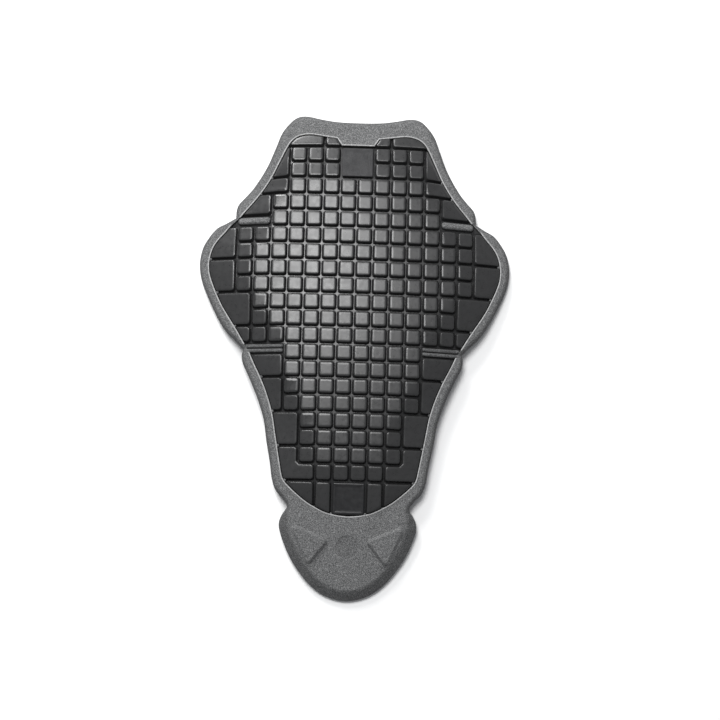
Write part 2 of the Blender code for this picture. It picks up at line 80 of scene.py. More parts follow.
# outline landmarks: share of half width, share of half length, 1 for a sharp corner
carrierMarks = [
    (0.000, 0.975, 0), (0.144, 0.978, 0), (0.247, 0.988, 0), (0.330, 0.999, 0),
    (0.385, 0.997, 0), (0.430, 0.980, 0), (0.495, 0.927, 0), (0.534, 0.861, 0),
    (0.587, 0.774, 0), (0.666, 0.686, 0), (0.722, 0.642, 0), (0.760, 0.615, 0),
    (0.774, 0.590, 0), (0.776, 0.555, 1), (0.835, 0.533, 0), (0.897, 0.511, 0),
    (0.952, 0.467, 0), (0.986, 0.423, 0), (1.000, 0.361, 0), (0.983, 0.292, 0),
    (0.926, 0.205, 0), (0.853, 0.117, 0), (0.802, 0.073, 0), (0.765, 0.050, 0),
    (0.699, 0.007, 1), (0.707, -0.020, 0), (0.696, -0.053, 0), (0.659, -0.102, 0),
    (0.598, -0.190, 0), (0.553, -0.277, 0), (0.530, -0.365, 0), (0.504, -0.452, 0),
    (0.488, -0.517, 0), (0.463, -0.562, 0), (0.411, -0.600, 0), (0.386, -0.626, 0),
    (0.411, -0.653, 0), (0.433, -0.685, 0), (0.432, -0.718, 0), (0.382, -0.803, 0),
    (0.322, -0.868, 0), (0.230, -0.938, 0), (0.127, -0.982, 0), (0.000, -1.000, 0),
]
waist = -0.626 * halfLength
feet = [(0.356, 0.998), (0.988, 0.412), (0.000, -1.000)]      # neck, wing, tail

padNeck = [
    (0.000, 0.867, 0), (0.107, 0.867, 1), (0.139, 0.899, 1), (0.212, 0.906, 0),
    (0.308, 0.914, 0), (0.363, 0.910, 0),
]

# share of half length, pad edge and plateau edge as shares of half width
padSections = [
    (0.897, 0.408, 0.377), (0.871, 0.444, 0.384), (0.787, 0.506, 0.425),
    (0.734, 0.543, 0.432), (0.682, 0.589, 0.452), (0.629, 0.647, 0.507),
    (0.594, 0.692, 0.541), (0.559, 0.737, 0.541), (0.516, 0.805, 0.541),
    (0.489, 0.838, 0.548), (0.454, 0.885, 0.583), (0.419, 0.916, 0.644),
    (0.381, 0.931, 0.665), (0.349, 0.934, 0.672), (0.314, 0.927, 0.672),
    (0.261, 0.897, 0.651), (0.191, 0.846, 0.596), (0.139, 0.796, 0.548),
    (0.086, 0.742, 0.480), (0.031, 0.690, 0.446), (-0.011, 0.651, 0.432),
    (-0.054, 0.620, 0.432), (-0.106, 0.579, 0.418), (-0.176, 0.533, 0.350),
    (-0.254, 0.495, 0.295), (-0.334, 0.472, 0.233), (-0.474, 0.432, 0.192),
    (-0.512, 0.418, 0.164), (-0.534, 0.395, 0.137), (-0.597, 0.283, 0.055),
    (-0.632, 0.191, 0.021), (-0.650, 0.120, 0.000),
]

fieldTop = form["fieldTop"] * halfLength
fieldBottom = form["fieldBottom"] * halfLength
rowPitch = (fieldTop - fieldBottom) / form["rows"]
columnPitch = 2 * halfWidth / form["columnsAcross"]

# row: first and last column of square tiles on each side
squareRows = {1: (2, 4), 2: (2, 4), 3: (1, 4), 4: (1, 5), 5: (1, 5)}
squareRows.update({row: (1, 7) for row in range(6, 10)})
squareRows.update({row: (1, 6) for row in range(10, 13)})
squareRows.update({row: (1, 4) for row in range(13, 17)})
squareRows.update({row: (1, 3) for row in range(17, 20)})
squareRows[20] = (1, 2)

# edge tiles: top and bottom row line, inner and outer column line
steppedTile = (19, 21, 2, 9)
edgeTiles = [
    (0, 1, 1, 2), (0, 1, 2, 9), (1, 3, 4, 9), (3, 4, 4, 9), (4, 5.36, 5, 9),
    (6, 8, 7, 9), (8, 10, 7, 9), (10, 12, 6, 9), (12, 13, 6, 9), (13.62, 15, 4, 9),
    (15, 17, 4, 9), (17, 19, 3, 9), steppedTile, (21, 23, 1, 2), (21, 23, 2, 9),
]

# flex bands: top and bottom row line, inner column line, number of beads
flexBands = [(5.36, 5.98, 5, 1), (13.02, 13.62, 4, 2)]


def rowLine(row):
    return fieldTop - row * rowPitch


def columnLine(column):
    return column * columnPitch


# outlines in plan

def place(across, along):
    return Vector((across * halfWidth, along * halfLength))


def smoothPath(spots, corners, spacing):
    path = []
    last = len(spots) - 1
    for k in range(last):
        start, end = spots[k], spots[k + 1]
        chord = end - start
        before = spots[k - 1] if k else Vector((-end.x, end.y))
        after = spots[k + 2] if k + 1 < last else Vector((-start.x, start.y))
        leave = chord if corners[k] else end - before
        arrive = chord if corners[k + 1] else after - start
        third = chord.length / 3
        steps = max(1, round(chord.length / spacing))
        curve = interpolate_bezier(
            start, start + leave.normalized() * third,
            end - arrive.normalized() * third, end, steps + 1)
        path.extend(Vector(point[:2]) for point in curve[:-1])
    path.append(spots[last])
    return path


def mirrored(ring):
    return [Vector((-p.x, p.y)) for p in reversed(ring)]


def bothSides(half):
    return half + mirrored(half[1:-1])


def offsetRing(ring, distances):          # inwards, for a clockwise ring
    if isinstance(distances, float):
        distances = [distances] * len(ring)
    moved = []
    for k, point in enumerate(ring):
        back = (point - ring[k - 1]).normalized()
        ahead = (ring[(k + 1) % len(ring)] - point).normalized()
        sideBack = Vector((back.y, -back.x))
        sideAhead = Vector((ahead.y, -ahead.x))
        inward = (sideBack + sideAhead).normalized()
        moved.append(point + inward * (distances[k] / max(inward.dot(sideAhead), 0.5)))
    return moved


def cornersOf(ring, sharpest=0.5):
    turns = []
    for k, point in enumerate(ring):
        back = ring[k - 1] - point
        ahead = ring[(k + 1) % len(ring)] - point
        turns.append(math.pi - back.angle(ahead) > sharpest)
    return turns


def withoutShort(ring, least):
    turns = cornersOf(ring)
    kept = []
    for k, point in enumerate(ring):
        if turns[k] or not kept or (point - kept[-1]).length > least:
            if kept and (point - kept[-1]).length < least:
                kept.pop()
            kept.append(point)
    return kept


# corners become arcs; turns marks them where the ring alone might mislead
def softenCorners(ring, radius, steps, turns=None):
    soft = []
    turns = turns or cornersOf(ring)
    for k, point in enumerate(ring):
        back = point - ring[k - 1]
        ahead = ring[(k + 1) % len(ring)] - point
        if not turns[k]:
            soft.append(point)
            continue
        turn = back.angle_signed(ahead)            # positive for a clockwise turn
        half = math.tan(abs(turn) / 2)
        reach = min(radius * half, back.length * 0.45, ahead.length * 0.45)
        start = point - back.normalized() * reach
        side = Vector((back.y, -back.x)).normalized() * math.copysign(1, turn)
        middle = start + side * (reach / half)
        for step in range(steps + 1):
            spoke = start - middle
            spoke.rotate(Matrix.Rotation(-turn * step / steps, 2))
            soft.append(middle + spoke)
    return soft


def clipRing(ring, axis, limit, keepAbove):
    side = 1 if keepAbove else -1
    kept = []
    for k, point in enumerate(ring):
        before = ring[k - 1]
        depthBefore = side * (before[axis] - limit)
        depth = side * (point[axis] - limit)
        if (depthBefore > 0) != (depth > 0):
            kept.append(before.lerp(point, depthBefore / (depthBefore - depth)))
        if depth > 0:
            kept.append(point)
    return kept


def sectionAt(y, column):
    share = y / halfLength
    if share >= padSections[0][0]:
        return padSections[0][column] * halfWidth
    for upper, lower in zip(padSections, padSections[1:]):
        if share >= lower[0]:
            t = (upper[0] - share) / (upper[0] - lower[0])
            return (upper[column] + t * (lower[column] - upper[column])) * halfWidth
    return padSections[-1][column] * halfWidth


def carrierRing(spacing):
    spots = [place(x, y) for x, y, corner in carrierMarks]
    return bothSides(smoothPath(spots, [mark[2] for mark in carrierMarks], spacing))


def padRing(spacing):
    marks = padNeck + [(edge, y, 0) for y, edge, plateau in padSections] + [(0, -0.660, 0)]
    spots = [place(x, y) for x, y, corner in marks]
    corners = [mark[2] for mark in marks]
    for top, bottom, inner, beads in flexBands:
        high, low, reach = rowLine(top), rowLine(bottom), columnLine(inner)
        slot = [Vector((sectionAt(high, 1), high)), Vector((reach, high)),
                Vector((reach, low)), Vector((sectionAt(low, 1), low))]
        above = [k for k, spot in enumerate(spots) if spot.y > high + form["slotMargin"]]
        below = [k for k, spot in enumerate(spots) if spot.y < low - form["slotMargin"]]
        spots = spots[:above[-1] + 1] + slot + spots[below[0]:]
        corners = corners[:above[-1] + 1] + [1] * 4 + corners[below[0]:]
    return bothSides(smoothPath(spots, corners, spacing))


# the arch and the plateau

def archShape():
    neck, wing, tail = [place(x, y) for x, y in feet]
    neckSpan, wingSpan = neck.y - tail.y, wing.y - tail.y
    ratio = ((wing.y ** 2 - tail.y ** 2) * neckSpan - (neck.y ** 2 - tail.y ** 2) * wingSpan) / (
        neck.x ** 2 * wingSpan - wing.x ** 2 * neckSpan)
    top = (ratio * neck.x ** 2 + neck.y ** 2 - tail.y ** 2) / (2 * neckSpan)
    along = form["archRise"] / (tail.y - top) ** 2
    return ratio * along, along, top


archAcross, archAlong, archTop = archShape()


def arch(x, y):
    return form["archRise"] - archAcross * x ** 2 - archAlong * (y - archTop) ** 2


foot = offsetRing(carrierRing(form["groundSpacing"]), form["groundInset"])
ground = min(arch(p.x, p.y) for p in foot)


def lift(x, y):
    edge, plateau = sectionAt(y, 1), sectionAt(y, 2)
    neckEnd = padNeck[-1][1] * halfLength
    side = (edge - abs(x)) / (edge - plateau)
    neck = (neckEnd - y) / (neckEnd - rowLine(form["plateauRows"][0]))
    tail = (y - fieldBottom) / (rowLine(form["plateauRows"][1]) - fieldBottom)
    return form["lift"] * max(0.0, min(1.0, side, neck, tail))


def tilt(x, y):                            # slope of the pad's top across and along
    step = form["tiltStep"]
    across = (lift(x + step, y) - lift(x - step, y)) / (2 * step) - 2 * archAcross * x
    along = (lift(x, y + step) - lift(x, y - step)) / (2 * step)
    return across, along - 2 * archAlong * (y - archTop)


# mesh helpers

def atHeight(ring, height):
    return [Vector((p.x, p.y, height)) for p in ring]


def stack(bm, rings):
    floor = bm.faces.new([bm.verts.new(p) for p in rings[0]])
    face = floor
    for ring in rings[1:]:
        grown = bmesh.ops.extrude_face_region(bm, geom=[face])["geom"]
        if face is not floor:
            bm.faces.remove(face)
        face = next(item for item in grown if isinstance(item, bmesh.types.BMFace))
        for vert, point in zip(face.verts, ring):
            vert.co = point


def finish(name, bm, material):
    bmesh.ops.recalc_face_normals(bm, faces=bm.faces)
    mesh = bpy.data.meshes.new(name)
    bm.to_mesh(mesh)
    bm.free()
    piece = bpy.data.objects.new(name, mesh)
    bpy.context.scene.collection.objects.link(piece)
    if material:
        mesh.materials.append(material)
    return piece


def evaluated(piece):
    graph = bpy.context.evaluated_depsgraph_get()
    return bpy.data.meshes.new_from_object(piece.evaluated_get(graph))


def combine(target, other, operation):
    cut = target.modifiers.new("cut", "BOOLEAN")
    cut.operation = operation
    cut.solver = "EXACT"
    cut.object = other
    mesh = evaluated(target)
    target.modifiers.clear()
    target.data = mesh
    bpy.data.objects.remove(other)


def gridCuts(bm, xs, ys):
    cuts = [(Vector((x, 0, 0)), Vector((1, 0, 0))) for x in xs]
    cuts += [(Vector((0, y, 0)), Vector((0, 1, 0))) for y in ys]
    for spot, normal in cuts:
        everything = bm.verts[:] + bm.edges[:] + bm.faces[:]
        bmesh.ops.bisect_plane(bm, geom=everything, dist=1e-6, plane_co=spot, plane_no=normal)


def span(low, high, step):
    count = max(1, round((high - low) / step))
    return [low + (high - low) * k / count for k in range(1, count)]


def drape(bm, heightAt):
    bmesh.ops.triangulate(bm, faces=bm.faces, quad_method="BEAUTY", ngon_method="BEAUTY")
    for vert in bm.verts:
        vert.co = heightAt(vert.co)


def smooth(piece, degrees):
    piece.data.shade_smooth()
    piece.data.set_sharp_from_angle(angle=math.radians(degrees))
    evenOut = piece.modifiers.new("evenOut", "WEIGHTED_NORMAL")
    evenOut.keep_sharp = True
    mesh = evaluated(piece)
    piece.modifiers.clear()
    piece.data = mesh


def joinInto(target, others):
    with bpy.context.temp_override(
            active_object=target, selected_editable_objects=[target] + others):
        bpy.ops.object.join()


# shader groups

def newGroup(name, inputs, outputs):
    tree = bpy.data.node_groups.new(name, "ShaderNodeTree")
    for label, value in inputs.items():
        socket = tree.interface.new_socket(label, in_out="INPUT", socket_type="NodeSocketFloat")
        socket.default_value = value
    for label, kind in outputs.items():
        tree.interface.new_socket(label, in_out="OUTPUT", socket_type=kind)
    return tree, tree.nodes.new("NodeGroupInput"), tree.nodes.new("NodeGroupOutput")


def node(tree, kind, inputs=None, **settings):
    made = tree.nodes.new(kind)
    for key, value in settings.items():
        setattr(made, key, value)
    for key, value in (inputs or {}).items():
        if isinstance(value, bpy.types.NodeSocket):
            tree.links.new(value, made.inputs[key])
        else:
            made.inputs[key].default_value = value
    return made


def calculate(tree, operation, a, b=0.0):
    return node(tree, "ShaderNodeMath", {0: a, 1: b}, operation=operation).outputs[0]


# fine grain and slow blotches, in metres, as two masks and a height
def grainGroup():
    tree, given, result = newGroup(
        "grain", {"Grain size": 0.0008, "Blotch size": 0.02, "Contrast": 1.0},
        {"Grain": "NodeSocketFloat", "Blotch": "NodeSocketFloat", "Height": "NodeSocketFloat"})
    spot = node(tree, "ShaderNodeTexCoord").outputs["Object"]
    fine = calculate(tree, "DIVIDE", 1.0, given.outputs["Grain size"])
    slow = calculate(tree, "DIVIDE", 1.0, given.outputs["Blotch size"])
    noise = node(tree, "ShaderNodeTexNoise", {"Vector": spot, "Scale": fine, "Detail": 3.0,
                                              "Roughness": 0.7})
    blotch = node(tree, "ShaderNodeTexNoise", {"Vector": spot, "Scale": slow, "Detail": 2.0})
    centred = calculate(tree, "SUBTRACT", noise.outputs["Fac"], 0.5)
    grown = calculate(tree, "MULTIPLY", centred, given.outputs["Contrast"])
    shown = node(tree, "ShaderNodeMath", {0: grown, 1: 0.5}, operation="ADD", use_clamp=True)
    tree.links.new(shown.outputs[0], result.inputs["Grain"])
    tree.links.new(blotch.outputs["Fac"], result.inputs["Blotch"])
    tree.links.new(noise.outputs["Fac"], result.inputs["Height"])
    return tree


# closed foam cells: small rounded pits with thin walls between them
def cellGroup():
    tree, given, result = newGroup(
        "foamCells", {"Cell size": 0.0009}, {"Height": "NodeSocketFloat"})
    spot = node(tree, "ShaderNodeTexCoord").outputs["Object"]
    scale = calculate(tree, "DIVIDE", 1.0, given.outputs["Cell size"])
    cells = node(tree, "ShaderNodeTexVoronoi", {"Vector": spot, "Scale": scale},
                 feature="SMOOTH_F1")
    tree.links.new(cells.outputs["Distance"], result.inputs["Height"])
    return tree


def placeGroup(tree, group, values):
    made = tree.nodes.new("ShaderNodeGroup")
    made.node_tree = group
    for key, value in values.items():
        made.inputs[key].default_value = value
    return made


def ramp(tree, factor, stops):
    made = node(tree, "ShaderNodeValToRGB", {"Fac": factor})
    elements = made.color_ramp.elements
    while len(elements) < len(stops):
        elements.new(0.5)
    for element, (position, shade) in zip(elements, stops):
        element.position = position
        element.color = shade if len(shade) == 4 else (*shade, 1)
    return made.outputs["Color"]


def mapRange(tree, value, low, high, newLow, newHigh):
    made = node(tree, "ShaderNodeMapRange", {
        "Value": value, "From Min": low, "From Max": high, "To Min": newLow, "To Max": newHigh})
    return made.outputs["Result"]


# chained bumps: height, distance in metres and strength of each
def bumps(tree, layers):
    normal = None
    for height, distance, strength in layers:
        inputs = {"Height": height, "Distance": distance, "Strength": strength}
        if normal:
            inputs["Normal"] = normal
        normal = node(tree, "ShaderNodeBump", inputs).outputs["Normal"]
    return normal


grain = grainGroup()
foamCells = cellGroup()


def newMaterial(name):
    material = bpy.data.materials.new(name)
    material.use_nodes = True
    tree = material.node_tree
    return material, tree, tree.nodes["Principled BSDF"]


def heatheredFoam():
    material, tree, shader = newMaterial("heathered foam")
    fine = placeGroup(tree, grain, {"Grain size": 0.00075, "Blotch size": 0.018, "Contrast": 3.2})
    coarse = placeGroup(tree, grain, {"Grain size": 0.0019, "Blotch size": 0.060, "Contrast": 2.2})
    cells = placeGroup(tree, foamCells, {"Cell size": 0.0011})
    speckle = ramp(tree, fine.outputs["Grain"], [
        (0.0, (0.026, 0.026, 0.027)), (0.45, (0.098, 0.099, 0.100)), (1.0, (0.270, 0.272, 0.273))])
    soft = ramp(tree, coarse.outputs["Grain"], [
        (0.0, (0.78, 0.78, 0.78)), (1.0, (1.14, 1.14, 1.14))])
    mixed = node(tree, "ShaderNodeMix", {0: 1.0, 6: speckle, 7: soft},
                 data_type="RGBA", blend_type="MULTIPLY")
    # painted shade: foam that lies below the rim is mixed towards near black, up to 45% outside the
    # flex slots and up to 90% inside them
    shadeMask = node(tree, "ShaderNodeAttribute", attribute_name="paintedShade").outputs["Fac"]
    share = mapRange(tree, shadeMask, 0.0, 2.0, 0.0, 0.9)
    darker = node(tree, "ShaderNodeMix", {
        0: share, 6: mixed.outputs[2], 7: (0.018, 0.018, 0.019, 1)},
        data_type="RGBA", blend_type="MIX")
    tree.links.new(darker.outputs[2], shader.inputs["Base Color"])
    tree.links.new(mapRange(tree, coarse.outputs["Blotch"], 0.3, 0.7, 0.78, 0.92),
                   shader.inputs["Roughness"])
    tree.links.new(bumps(tree, [
        (coarse.outputs["Height"], 0.0006, 0.35),
        (cells.outputs["Height"], 0.00045, 0.45),
        (fine.outputs["Height"], 0.00035, 0.6)]), shader.inputs["Normal"])
    shader.inputs["Specular IOR Level"].default_value = 0.35
    return material


def satinRubber(name, shade, roughLow, roughHigh, grainDepth):
    material, tree, shader = newMaterial(name)
    skin = placeGroup(tree, grain, {"Grain size": 0.00035, "Blotch size": 0.022, "Contrast": 2.0})
    haze = placeGroup(tree, grain, {"Grain size": 0.0045, "Blotch size": 0.050, "Contrast": 2.4})
    colour = ramp(tree, haze.outputs["Grain"], [
        (0.0, tuple(0.92 * c for c in shade)), (1.0, tuple(1.12 * c for c in shade))])
    tree.links.new(colour, shader.inputs["Base Color"])
    tree.links.new(mapRange(tree, haze.outputs["Grain"], 0.2, 0.8, roughLow, roughHigh),
                   shader.inputs["Roughness"])
    tree.links.new(bumps(tree, [
        (haze.outputs["Height"], 0.00022, 0.25),
        (skin.outputs["Height"], grainDepth, 0.5)]), shader.inputs["Normal"])
    shader.inputs["Specular IOR Level"].default_value = 0.5
    return material


def hookTextile():
    material, tree, shader = newMaterial("hook textile")
    fine = placeGroup(tree, grain, {"Grain size": 0.0006, "Blotch size": 0.010, "Contrast": 3.0})
    colour = ramp(tree, fine.outputs["Grain"], [
        (0.0, (0.010, 0.010, 0.011)), (1.0, (0.042, 0.042, 0.044))])
    tree.links.new(colour, shader.inputs["Base Color"])
    tree.links.new(mapRange(tree, fine.outputs["Blotch"], 0.3, 0.7, 0.62, 0.80),
                   shader.inputs["Roughness"])
    tree.links.new(bumps(tree, [(fine.outputs["Height"], 0.0003, 0.6)]), shader.inputs["Normal"])
    return material


foamSkin = heatheredFoam()
tileRubber = satinRubber("tile rubber", (0.026, 0.026, 0.0265), 0.27, 0.34, 0.00002)
# the web shows only at the groove floors; its darker shade than the tiles is painted shade for the
# deep grooves
webRubber = satinRubber("web rubber", (0.018, 0.018, 0.0185), 0.27, 0.34, 0.00002)
patchRubber = satinRubber("patch rubber", (0.014, 0.014, 0.015), 0.36, 0.48, 0.00005)
hookFabric = hookTextile()
print("materials ready")


# foam carrier

foam = {
    "spacing": 0.0026,          # between points of the outline
    "edgeHeight": 0.0042,
    "shoulder": 0.0046,
    "tailSlope": 0.0098,
    "slopeBlend": 0.012,
    "undersideRound": 0.0016,
    "undersideSteps": 3,
    "roundSteps": 6,
    "lipWidth": 0.0013,
    "lipHeight": 0.00045,
    "lipInset": 0.0007,
    "flexFloor": 0.0050,
    "beadWidth": 0.0070,
    "beadTop": 0.0099,
    "ridgeWidth": 0.0037,
    "ridgeTop": 0.0086,
    "bossHeight": 0.0030,
    "bossSlope": 0.0030,
    "bossRound": 0.0044,
    "dishRadius": 0.0112,
    "dishDepth": 0.0006,
    "dishWall": 0.0009,
    "dishSides": 64,
    "gridStep": 0.0052,
    "nubSize": 0.0013,
    "nubDrop": 0.0010,
    "nubInset": 0.995,          # share of the way out to the pad's edge
    "nubSeed": 11,
    "shadeDepth": 0.0016,       # painted shade: foam this far below the rim is fully darker
}


def foamHeight(spot):
    raised = lift(spot.x, spot.y) if spot.z > form["foamFloor"] + form["gap"] else 0
    return Vector((spot.x, spot.y, spot.z + raised + arch(spot.x, spot.y) - ground))


def tailShare(y):
    return min(1.0, max(0.0, (waist - y) / foam["slopeBlend"]))


def foamBody():
    ring = carrierRing(foam["spacing"])
    shares = [tailShare(p.y) for p in ring]
    widths = [foam["shoulder"] + s * (foam["tailSlope"] - foam["shoulder"]) for s in shares]
    rise = form["rimHeight"] - foam["edgeHeight"]
    under = foam["undersideRound"]
    rings = []
    for step in range(foam["undersideSteps"] + 1):
        angle = math.pi / 2 * step / foam["undersideSteps"]
        rings.append(atHeight(
            offsetRing(ring, under * (1 - math.sin(angle))), under * (1 - math.cos(angle))))
    rings.append(atHeight(ring, foam["edgeHeight"]))
    for step in range(1, foam["roundSteps"] + 1):
        t = step / foam["roundSteps"]
        angle = math.pi / 2 * t
        insets = [w * ((1 - s) * (1 - math.cos(angle)) + s * t) for w, s in zip(widths, shares)]
        level = offsetRing(ring, insets)
        heights = [foam["edgeHeight"] + rise * ((1 - s) * math.sin(angle) + s * t ** 0.9)
                   for s in shares]
        rings.append([Vector((p.x, p.y, h)) for p, h in zip(level, heights)])
    bm = bmesh.new()
    stack(bm, rings)
    return finish("foamCarrier", bm, foamSkin)


def recessCutter():
    ring = offsetRing(padRing(foam["spacing"]), -form["gap"])
    bm = bmesh.new()
    stack(bm, [atHeight(ring, form["foamFloor"]),
               atHeight(ring, form["rimHeight"] + form["overshoot"])])
    return finish("recess", bm, None)


def channelCutter():
    bm = bmesh.new()
    for top, bottom, inner, beads in flexBands:
        high, low, reach = rowLine(top), rowLine(bottom), columnLine(inner) - form["gap"]
        ring = [Vector((reach, high)), Vector((sectionAt(high, 1), high)),
                Vector((sectionAt(low, 1), low)), Vector((reach, low))]
        ring = offsetRing(ring, -2 * form["gap"])
        for outline in (ring, mirrored(ring)):
            stack(bm, [atHeight(outline, foam["flexFloor"]),
                       atHeight(outline, form["rimHeight"] + form["overshoot"])])
    return finish("channels", bm, None)


# shares of a bead's width, apart from the steps and the bedding
bead = {
    "cornerShare": 0.48,
    "crownShare": 0.45,
    "insetShare": 0.47,
    "roundShare": 0.93,         # of a quarter turn
    "steps": 6,
    "bedding": 0.0005,
    "spacing": 0.0003,
    "innerGap": 0.0012,
}


def inSlot(spot, inset):
    return any(rowLine(bottom) - 0.002 < spot.y < rowLine(top) + 0.002
               and columnLine(inner) - 0.002 < abs(spot.x) < sectionAt(spot.y, 1) - inset
               for top, bottom, inner, beads in flexBands)


def rimReach(y):
    ring = carrierRing(foam["spacing"])
    return max(a.lerp(b, (a.y - y) / (a.y - b.y)).x for a, b in zip(ring, ring[1:]) if a.y >= y > b.y)


def roundedBar(bm, inner, outer, middle, width, top, side):
    ring = [Vector((inner, middle + width / 2)), Vector((outer, middle + width / 2)),
            Vector((outer, middle - width / 2)), Vector((inner, middle - width / 2))]
    if side < 0:
        ring = mirrored(ring)
    ring = softenCorners(ring, width * bead["cornerShare"], bead["steps"])
    crown = width * bead["crownShare"]
    levels = [atHeight(ring, form["foamFloor"] + bead["bedding"])]
    for step in range(bead["steps"] + 1):
        angle = math.pi / 2 * step / bead["steps"] * bead["roundShare"]
        inset = width * bead["insetShare"] * (1 - math.cos(angle))
        levels.append(atHeight(offsetRing(ring, inset), top - crown * (1 - math.sin(angle))))
    stack(bm, levels)


def beadSet():
    bm = bmesh.new()
    for top, bottom, inner, beads in flexBands:
        middle = (rowLine(top) + rowLine(bottom)) / 2
        width = foam["beadWidth"] if beads == 1 else foam["ridgeWidth"]
        height = foam["beadTop"] if beads == 1 else foam["ridgeTop"]
        shift = width / 2 + bead["spacing"]
        lines = [middle] if beads == 1 else [middle + shift, middle - shift]
        for line in lines:
            outer = min(rimReach(line + width), rimReach(line - width)) - foam["shoulder"] * 0.5
            for side in (1, -1):
                roundedBar(bm, columnLine(inner) + bead["innerGap"], outer, line, width, height, side)
    return finish("beads", bm, None)


# across and up the slope of a boss, as shares
bossSlope = [(0.10, 0.06), (0.22, 0.22), (0.68, 0.80), (0.84, 0.95), (1.0, 1.0), (1.2, 1.0)]
bossCorners = [(0.385, -0.680), (0.106, -0.758), (0.250, -0.874)]


def bossSet():
    bm = bmesh.new()
    for side in (1, -1):
        ring = [place(x, y) for x, y in reversed(bossCorners)]
        if side < 0:
            ring = mirrored(ring)
        ring = softenCorners(ring, foam["bossRound"], 7)
        levels = [atHeight(ring, foam["edgeHeight"]), atHeight(ring, form["rimHeight"])]
        for share, rise in bossSlope:
            levels.append(atHeight(offsetRing(ring, foam["bossSlope"] * share),
                                   form["rimHeight"] + foam["bossHeight"] * rise))
        stack(bm, levels)
    return finish("bosses", bm, None)


def dishCutter():
    bm = bmesh.new()
    middle = Vector((0, -0.785 * halfLength))
    radius = foam["dishRadius"]
    circle = [middle + radius * Vector((math.sin(a), math.cos(a)))
              for a in (2 * math.pi * k / foam["dishSides"] for k in range(foam["dishSides"]))]
    depth = foam["dishDepth"]
    stack(bm, [atHeight(offsetRing(circle, foam["dishWall"]), form["rimHeight"] - depth),
               atHeight(circle, form["rimHeight"] + 0.0002),
               atHeight(circle, form["rimHeight"] + form["overshoot"])])
    return finish("dish", bm, None)


# light grey of the lip: partly the lighter cells of the cut foam edge, partly a painted highlight on
# the rim's inner edge
def lipFoamWithHighlight():
    material, tree, shader = newMaterial("lip foam with painted highlight")
    fine = placeGroup(tree, grain, {"Grain size": 0.0011, "Blotch size": 0.012, "Contrast": 2.6})
    colour = ramp(tree, fine.outputs["Grain"], [
        (0.0, (0.16, 0.16, 0.16)), (1.0, (0.52, 0.52, 0.52))])
    tree.links.new(colour, shader.inputs["Base Color"])
    tree.links.new(mapRange(tree, fine.outputs["Blotch"], 0.3, 0.7, 0.55, 0.75),
                   shader.inputs["Roughness"])
    tree.links.new(bumps(tree, [(fine.outputs["Height"], 0.0003, 0.5)]), shader.inputs["Normal"])
    return material


# thin raised lip of foam along the edge of the pad's recess; its light grey is partly the cut edge's
# own lighter cells and partly a painted highlight
def lipTube():
    ring = offsetRing(padRing(foam["spacing"]), -(form["gap"] + foam["lipInset"]))
    data = bpy.data.curves.new("lip", "CURVE")
    data.dimensions = "3D"
    data.bevel_depth = foam["lipWidth"] / 2
    data.bevel_resolution = 2
    data.use_fill_caps = True
    height = form["rimHeight"] - foam["lipWidth"] / 2 + foam["lipHeight"]
    runs = [[]]
    for spot in ring + ring[:1]:
        if inSlot(spot, 0.0012):
            runs.append([])
        else:
            runs[-1].append(foamHeight(Vector((spot.x, spot.y, height))))
    for run in [run for run in runs if len(run) > 1]:
        line = data.splines.new("POLY")
        line.points.add(len(run) - 1)
        for point, spot in zip(line.points, run):
            point.co = (*spot, 1)
    curve = bpy.data.objects.new("lip", data)
    bpy.context.scene.collection.objects.link(curve)
    mesh = evaluated(curve)
    bpy.data.objects.remove(curve)
    lip = bpy.data.objects.new("lip", mesh)
    bpy.context.scene.collection.objects.link(lip)
    mesh.materials.clear()
    mesh.materials.append(lipFoamWithHighlight())
    return lip


# small nubs of foam fill the ends of the pad's grooves
def nubSpots():
    spots = []
    for top, bottom, inner, outer in edgeTiles:
        if bottom in (3, 4, 8, 10, 12, 15, 17, 19, 21):
            y = rowLine(bottom)
            spots.append((sectionAt(y, 1), y))
    for column in (1, 2):
        x = columnLine(column)
        ring = padRing(foam["spacing"])
        low = min((p for p in ring if abs(p.x - x) < 0.003 and p.y < -0.1), key=lambda p: p.y)
        spots.append((x, low.y))
    return spots + [(-x, y) for x, y in spots]


def nubs():
    bm = bmesh.new()
    chance = random.Random(foam["nubSeed"])
    for x, y in nubSpots():
        size = foam["nubSize"] * chance.uniform(0.85, 1.15)
        base = foamHeight(Vector((x * foam["nubInset"], y, form["rimHeight"] - foam["nubDrop"])))
        matrix = Matrix.Translation(base) @ Matrix.Diagonal((size, size, size, 1))
        bmesh.ops.create_icosphere(bm, subdivisions=3, radius=1.0, matrix=matrix)
    return finish("nubs", bm, foamSkin)


def makeFoamCarrier():
    carrier = foamBody()
    combine(carrier, recessCutter(), "DIFFERENCE")
    combine(carrier, channelCutter(), "DIFFERENCE")
    combine(carrier, beadSet(), "UNION")
    combine(carrier, bossSet(), "UNION")
    combine(carrier, dishCutter(), "DIFFERENCE")
    bm = bmesh.new()
    bm.from_mesh(carrier.data)
    bmesh.ops.dissolve_degenerate(bm, dist=1e-6, edges=bm.edges)
    step = foam["gridStep"]
    gridCuts(bm, span(-halfWidth, halfWidth, step), span(-halfLength, halfLength, step))
    # painted shade mask: depth below the rim over shadeDepth, capped at 1, or at 2 inside the flex
    # slots
    paintedShade = bm.verts.layers.float.new("paintedShade")
    for vert in bm.verts:
        depth = (form["rimHeight"] - vert.co.z) / foam["shadeDepth"]
        vert[paintedShade] = min(2.0 if inSlot(vert.co, 0.0) else 1.0, max(0.0, depth))
    drape(bm, foamHeight)
    bm.to_mesh(carrier.data)
    bm.free()
    carrier.data.materials.clear()
    carrier.data.materials.append(foamSkin)
    joinInto(carrier, [lipTube(), nubs()])
    smooth(carrier, 42)
    return carrier


# tile pad

